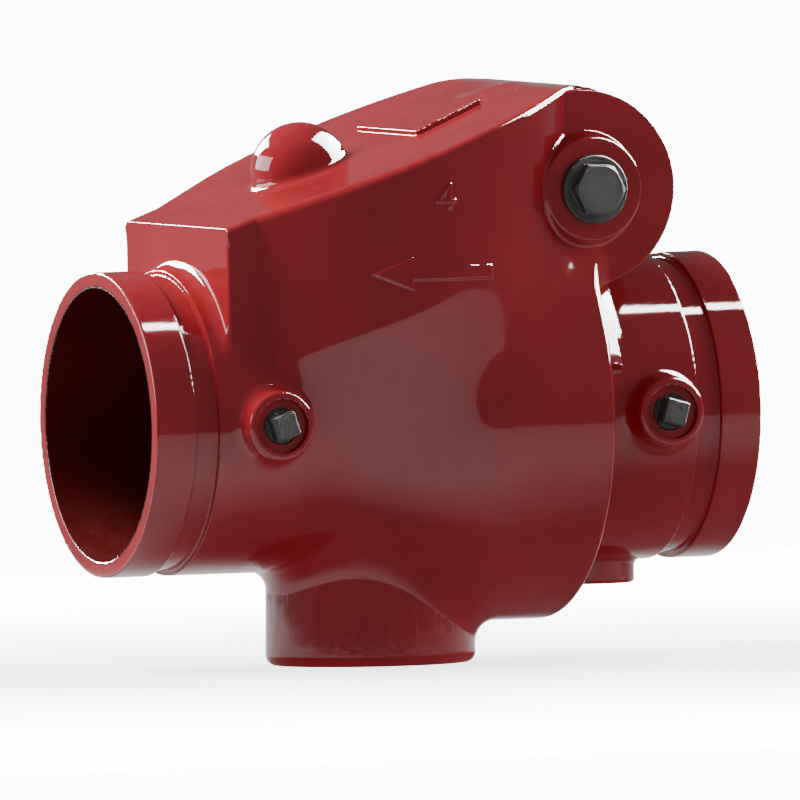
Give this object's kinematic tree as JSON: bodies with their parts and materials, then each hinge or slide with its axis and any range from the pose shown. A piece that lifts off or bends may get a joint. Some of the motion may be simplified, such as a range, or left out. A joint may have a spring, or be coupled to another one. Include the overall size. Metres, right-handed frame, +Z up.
{
  "type": "swing non-return valve",
  "caption": "Grooved-end swing non-return valve: cast body with a raised roof chamber and hinge housing, a spring-closed clapper on a pinned arm, gauge ports and a drain port.",
  "frame": {"origin": "centre of the outlet end face, on the pipe's axis", "axes": "+X along the pipe towards the inlet, so the flow runs towards -X; +Z up, towards the hinge housing; +Y to the far side, away from the gauge ports"},
  "size_m": [0.2445, 0.159, 0.2153],
  "materials": {
    "paint": "gloss red paint on a casting",
    "bronze": "machined",
    "stainless": "machined",
    "arm_iron": "as cast, machined at the eyes",
    "spring_steel": "drawn wire",
    "rubber": "matte",
    "blackened_steel": "blackened"
  },
  "bodies": {
    "valve": {"valve_body": "paint", "seat_ring": "bronze", "hinge_pin": "stainless", "hinge_bush_near": "bronze", "hinge_bush_far": "bronze", "thrust_washer_near": "bronze", "thrust_washer_far": "bronze", "closing_spring": "spring_steel", "hinge_plug_near": "blackened_steel", "hinge_plug_far": "blackened_steel", "plug_seal_near": "rubber", "plug_seal_far": "rubber", "gauge_plug_outlet": "blackened_steel", "gauge_plug_inlet": "blackened_steel"},
    "clapper_group": {"clapper_arm": "arm_iron", "clapper": "stainless", "clapper_facing": "rubber", "facing_retainer": "stainless", "clapper_bolt": "stainless", "bolt_seal": "rubber", "nut_washer": "stainless", "clapper_nut": "stainless"}
  },
  "joints": [
    {"name": "clapper_swing", "type": "hinge", "parent": "valve", "child": "clapper_group", "pos_m": [0.174, 0, 0.0844], "axis": [0, 1, 0], "range_deg": [0, 68], "stiffness_Nm_per_rad": 0.35, "springref_deg": -20.05, "deforming": ["closing_spring"]}
  ]
}
